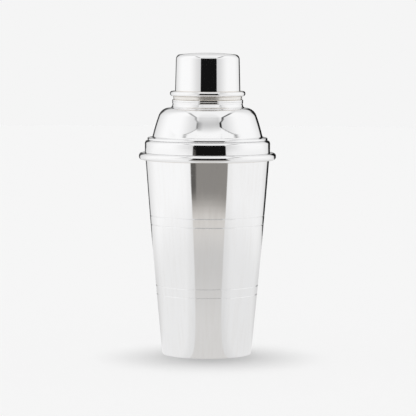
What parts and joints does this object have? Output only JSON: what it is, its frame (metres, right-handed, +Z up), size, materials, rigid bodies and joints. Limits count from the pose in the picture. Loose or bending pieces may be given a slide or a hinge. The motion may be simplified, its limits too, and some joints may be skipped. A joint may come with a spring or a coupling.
{
  "type": "cocktail shaker",
  "caption": "Tapered metal cocktail shaker with a lift-off domed strainer top and a lift-off cap, beaded at both joints.",
  "frame": {"origin": "centre of the foot, on the surface that the shaker stands on", "axes": "+Z up along the shaker's axis of revolution"},
  "size_m": [0.1052, 0.1052, 0.2314],
  "materials": {
    "polished_silver": "mirror-polished silver plate",
    "wire_silver": "mirror-polished silver plate on drawn wire",
    "inner_silver": "satin silver plate"
  },
  "bodies": {
    "tumbler": {"tumbler_wall": "polished_silver", "tumbler_base": "inner_silver", "rim_bead": "wire_silver"},
    "strainer_top": {"plug_skirt": "inner_silver", "shoulder_band": "polished_silver", "shoulder_dome": "polished_silver", "reeded_ring": "wire_silver", "cap_seat": "wire_silver", "pouring_neck": "inner_silver", "strainer_plate": "inner_silver"},
    "cap": {"cap_shell": "polished_silver", "cap_bead": "wire_silver"}
  },
  "joints": [
    {"name": "strainer_lift", "type": "slide", "parent": "tumbler", "child": "strainer_top", "axis": [0, 0, 1], "range_m": [0, 0.05]},
    {"name": "cap_lift", "type": "slide", "parent": "strainer_top", "child": "cap", "axis": [0, 0, 1], "range_m": [0, 0.04]}
  ]
}
